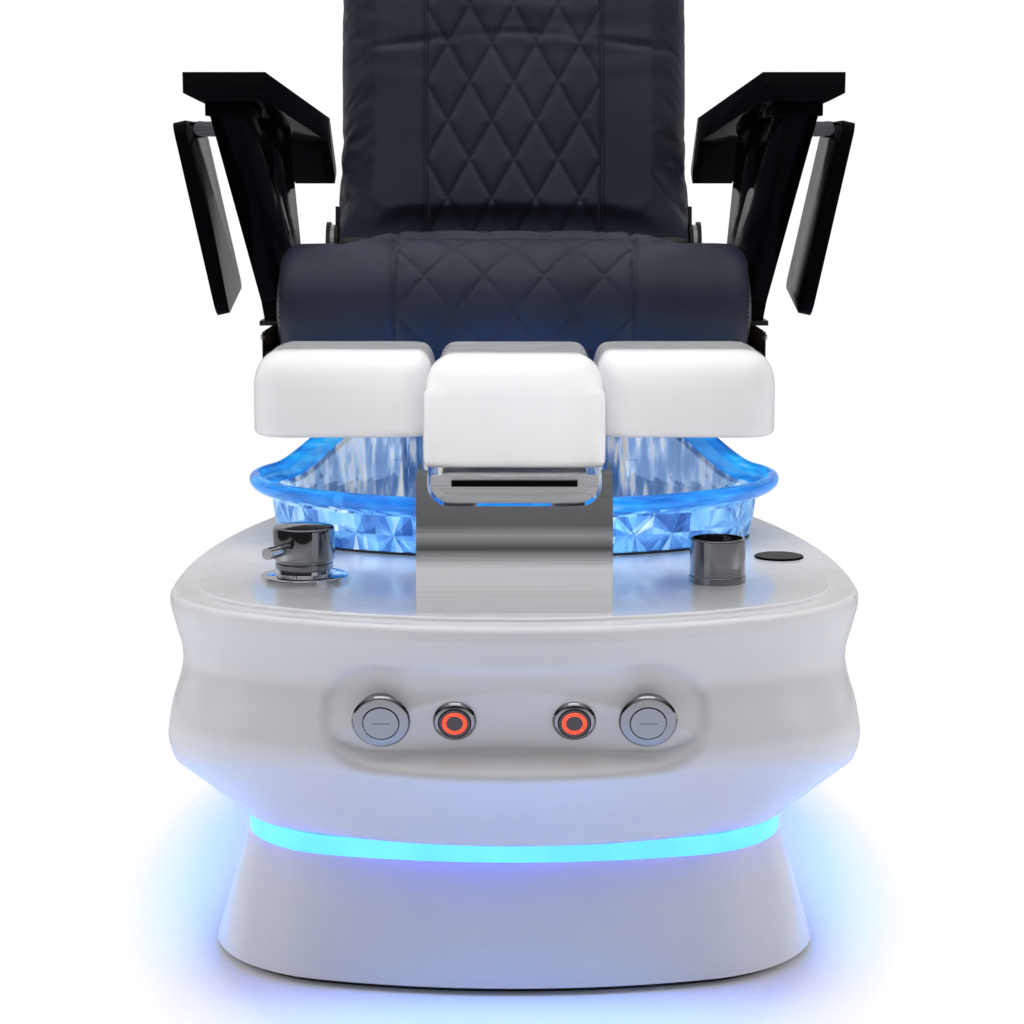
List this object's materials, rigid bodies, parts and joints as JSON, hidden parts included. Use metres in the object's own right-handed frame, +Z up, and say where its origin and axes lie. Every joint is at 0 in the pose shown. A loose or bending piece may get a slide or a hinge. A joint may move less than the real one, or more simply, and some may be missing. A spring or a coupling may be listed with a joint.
{
  "type": "pedicure bench",
  "caption": "Spa pedicure bench: glass foot bath in an egg-shaped tub with light band, tilting foot pads, and a padded reclining seat with arms and swing-up trays.",
  "frame": {"origin": "on the floor, under the middle of the tub's length and width", "axes": "+Z up; the seated person's feet point towards -Y; +X is the person's left-hand side"},
  "size_m": [0.8458, 1.4321, 1.3914],
  "materials": {
    "gloss_white": "gloss",
    "base_black": "satin",
    "black_gloss": "gloss",
    "chrome": "polished",
    "brushed_steel": "brushed",
    "clear_glass": "polished",
    "blue_light": "glowing",
    "orange_light": "glowing",
    "black_rubber": "matt",
    "grey_plastic": "satin",
    "frame_paint": "satin",
    "seat_board": "plain",
    "black_leather": "satin"
  },
  "bodies": {
    "base": {"base_plate": "base_black", "plinth_skirt": "gloss_white", "led_strip": "blue_light", "led_diffuser": "blue_light", "control_box": "base_black", "power_inlet": "base_black", "tub_shell": "gloss_white", "large_button_bezels": "chrome", "ring_button_bezels": "chrome", "deck_panel": "gloss_white", "deck_cap": "black_gloss", "glass_basin": "clear_glass", "basin_gasket": "black_rubber", "basin_light": "blue_light", "basin_drain": "chrome", "drain_nut": "grey_plastic", "drain_pipe": "grey_plastic", "mixer_valve": "chrome", "hot_hose": "black_rubber", "cold_hose": "black_rubber", "sprayer_ring": "chrome", "footrest_cover": "brushed_steel", "footrest_column": "brushed_steel", "pedestal": "black_gloss", "slide_rails": "brushed_steel"},
    "stopper": {"drain_stopper": "chrome"},
    "mixer_handle": {"mixer_knob": "chrome", "mixer_lever": "chrome"},
    "sprayer": {"sprayer_head": "chrome", "sprayer_hose": "black_rubber"},
    "left_large_press": {"left_large_button": "chrome"},
    "right_large_press": {"right_large_button": "chrome"},
    "left_ring_press": {"left_ring_button": "chrome", "left_button_light": "orange_light"},
    "right_ring_press": {"right_ring_button": "chrome", "right_button_light": "orange_light"},
    "footrest": {"footrest_carriage": "chrome", "footrest_crossbar": "chrome", "centre_pad": "gloss_white"},
    "release_bar": {"footrest_release": "black_gloss"},
    "left_foot_pad": {"left_pad": "gloss_white"},
    "right_foot_pad": {"right_pad": "gloss_white"},
    "seat": {"seat_frame": "frame_paint", "seat_shell": "black_gloss", "shell_trim": "chrome", "cushion_base": "seat_board", "seat_cushion": "black_leather", "left_arm_board": "black_gloss", "right_arm_board": "black_gloss", "left_arm_legs": "black_gloss", "right_arm_legs": "black_gloss", "arm_brackets": "frame_paint", "tray_hinges": "brushed_steel", "recliner_hinges": "brushed_steel"},
    "left_side_tray": {"left_tray": "black_gloss"},
    "right_side_tray": {"right_tray": "black_gloss"},
    "back": {"back_frame": "frame_paint", "back_cushion": "black_leather", "back_shell": "black_gloss", "head_pillow": "black_leather"}
  },
  "joints": [
    {"name": "stopper_lift", "type": "slide", "parent": "base", "child": "stopper", "axis": [0, 0, 1], "range_m": [0, 0.01]},
    {"name": "mixer_turn", "type": "hinge", "parent": "base", "child": "mixer_handle", "pos_m": [-0.22987, -0.32005, 0.44], "axis": [0, 0, 1], "range_deg": [-60, 60]},
    {"name": "sprayer_lift", "type": "slide", "parent": "base", "child": "sprayer", "axis": [0, 0, 1], "range_m": [0, 0.075]},
    {"name": "left_large_button_press", "type": "slide", "parent": "base", "child": "left_large_press", "axis": [0, 0.9563, 0.2924], "range_m": [0, 0.003], "stiffness_N_per_m": 600},
    {"name": "right_large_button_press", "type": "slide", "parent": "base", "child": "right_large_press", "axis": [0, 0.9563, 0.2924], "range_m": [0, 0.003], "stiffness_N_per_m": 600},
    {"name": "left_ring_button_press", "type": "slide", "parent": "base", "child": "left_ring_press", "axis": [0, 0.9563, 0.2924], "range_m": [0, 0.003], "stiffness_N_per_m": 600},
    {"name": "right_ring_button_press", "type": "slide", "parent": "base", "child": "right_ring_press", "axis": [0, 0.9563, 0.2924], "range_m": [0, 0.003], "stiffness_N_per_m": 600},
    {"name": "footrest_height", "type": "slide", "parent": "base", "child": "footrest", "axis": [0, 0, 1], "range_m": [0, 0.05]},
    {"name": "footrest_release_press", "type": "slide", "parent": "footrest", "child": "release_bar", "axis": [0, 1, 0], "range_m": [0, 0.004], "stiffness_N_per_m": 900},
    {"name": "left_pad_tilt", "type": "hinge", "parent": "footrest", "child": "left_foot_pad", "pos_m": [-0.179, -0.35192, 0.604], "axis": [1, 0, 0], "range_deg": [-25, 25]},
    {"name": "right_pad_tilt", "type": "hinge", "parent": "footrest", "child": "right_foot_pad", "pos_m": [0.179, -0.35192, 0.604], "axis": [1, 0, 0], "range_deg": [-25, 25]},
    {"name": "seat_slide", "type": "slide", "parent": "base", "child": "seat", "axis": [0, 1, 0], "range_m": [-0.1, 0.05]},
    {"name": "left_tray_swing", "type": "hinge", "parent": "seat", "child": "left_side_tray", "pos_m": [-0.397, 0.17435, 0.9023], "axis": [0, 1, 0], "range_deg": [0, 102]},
    {"name": "right_tray_swing", "type": "hinge", "parent": "seat", "child": "right_side_tray", "pos_m": [0.397, 0.17435, 0.9023], "axis": [0, -1, 0], "range_deg": [0, 102]},
    {"name": "back_recline", "type": "hinge", "parent": "seat", "child": "back", "pos_m": [0, 0.64035, 0.7403], "axis": [-1, 0, 0], "range_deg": [0, 35]}
  ]
}
